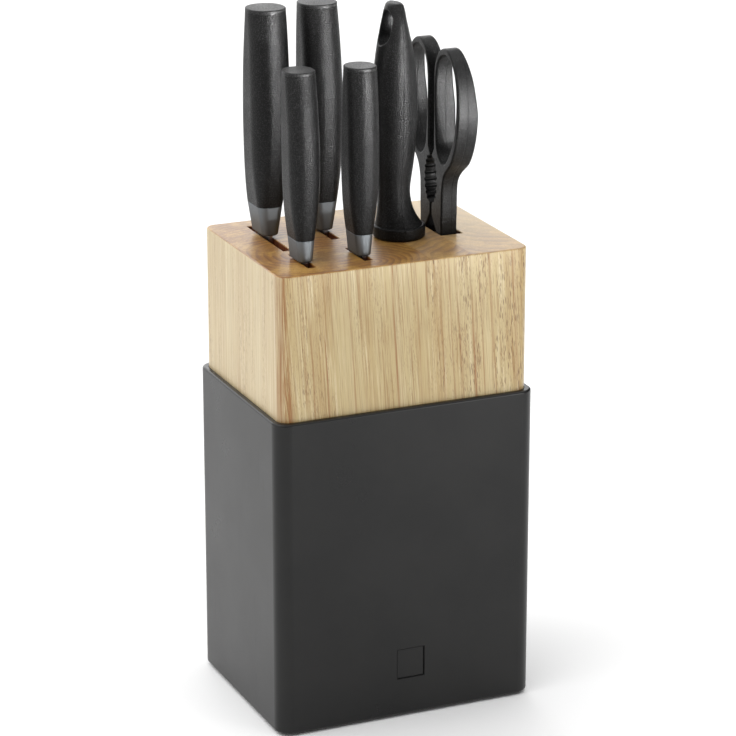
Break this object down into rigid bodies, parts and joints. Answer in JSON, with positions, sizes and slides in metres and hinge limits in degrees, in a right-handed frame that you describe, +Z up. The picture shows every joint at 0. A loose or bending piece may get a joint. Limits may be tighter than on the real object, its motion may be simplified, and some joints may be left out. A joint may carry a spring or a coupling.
{
  "type": "knife block with knives",
  "caption": "Wooden block in a hollow moulded stand, holding knives, a honing steel and shears that lift out; the shears open on a pivot.",
  "frame": {"origin": "centre of the footprint, on the surface that the rubber feet stand on", "axes": "+Z up along the block and the blades, +X along the wide face from the knives to the shears, -Y the wide front face that the cutting edges look at"},
  "size_m": [0.14, 0.108, 0.359],
  "materials": {
    "base_plastic": "fine satin moulded black",
    "wood": "pale glued hardwood, clear satin lacquer",
    "grip_plastic": "spark-eroded charcoal grain",
    "cap_plastic": "fine satin charcoal",
    "shears_plastic": "fine spark-eroded charcoal grain",
    "collar_steel": "bead-blasted satin",
    "blade_steel": "fine ground satin",
    "rod_steel": "lengthwise ribbed",
    "screw_steel": "zinc plated",
    "foot_rubber": "matte"
  },
  "bodies": {
    "block": {"base_sleeve": "base_plastic", "floor_plate": "base_plastic", "rubber_feet": "foot_rubber", "plate_screws": "screw_steel", "head_screws": "screw_steel", "head_board_1": "wood", "head_board_2": "wood", "head_board_3": "wood", "head_board_4": "wood", "head_board_5": "wood"},
    "chef_knife": {"chef_knife_blade": "blade_steel", "chef_knife_collar": "collar_steel", "chef_knife_handle": "grip_plastic", "chef_knife_end_cap": "cap_plastic"},
    "slicing_knife": {"slicing_knife_blade": "blade_steel", "slicing_knife_collar": "collar_steel", "slicing_knife_handle": "grip_plastic", "slicing_knife_end_cap": "cap_plastic"},
    "utility_knife": {"utility_knife_blade": "blade_steel", "utility_knife_collar": "collar_steel", "utility_knife_handle": "grip_plastic", "utility_knife_end_cap": "cap_plastic"},
    "paring_knife": {"paring_knife_blade": "blade_steel", "paring_knife_collar": "collar_steel", "paring_knife_handle": "grip_plastic", "paring_knife_end_cap": "cap_plastic"},
    "honing_steel": {"steel_handle": "grip_plastic", "steel_rod": "rod_steel"},
    "shears_pivot": {"shears_pivot_screw": "screw_steel", "shears_pivot_nut": "screw_steel"},
    "shears_front": {"shears_front_handle": "shears_plastic", "shears_front_blade": "blade_steel"},
    "shears_back": {"shears_back_handle": "shears_plastic", "shears_back_blade": "blade_steel"}
  },
  "joints": [
    {"name": "chef_knife_lift", "type": "slide", "parent": "block", "child": "chef_knife", "axis": [0, 0, 1], "range_m": [0, 0.205]},
    {"name": "slicing_knife_lift", "type": "slide", "parent": "block", "child": "slicing_knife", "axis": [0, 0, 1], "range_m": [0, 0.205]},
    {"name": "utility_knife_lift", "type": "slide", "parent": "block", "child": "utility_knife", "axis": [0, 0, 1], "range_m": [0, 0.14]},
    {"name": "paring_knife_lift", "type": "slide", "parent": "block", "child": "paring_knife", "axis": [0, 0, 1], "range_m": [0, 0.1]},
    {"name": "honing_steel_lift", "type": "slide", "parent": "block", "child": "honing_steel", "axis": [0, 0, 1], "range_m": [0, 0.205]},
    {"name": "shears_lift", "type": "slide", "parent": "block", "child": "shears_pivot", "axis": [0, 0, 1], "range_m": [0, 0.18]},
    {"name": "shears_front_open", "type": "hinge", "parent": "shears_pivot", "child": "shears_front", "pos_m": [0.0414, -0.0006, 0.226], "axis": [1, 0, 0], "range_deg": [0, 15.6]},
    {"name": "shears_back_open", "type": "hinge", "parent": "shears_pivot", "child": "shears_back", "pos_m": [0.0414, -0.0006, 0.226], "axis": [1, 0, 0], "range_deg": [-15.6, 0]}
  ],
  "couplings": [
    {"joint": "shears_front_open", "follows": "shears_lift", "rad_per_m": 1.5},
    {"joint": "shears_back_open", "follows": "shears_lift", "rad_per_m": -1.5}
  ]
}
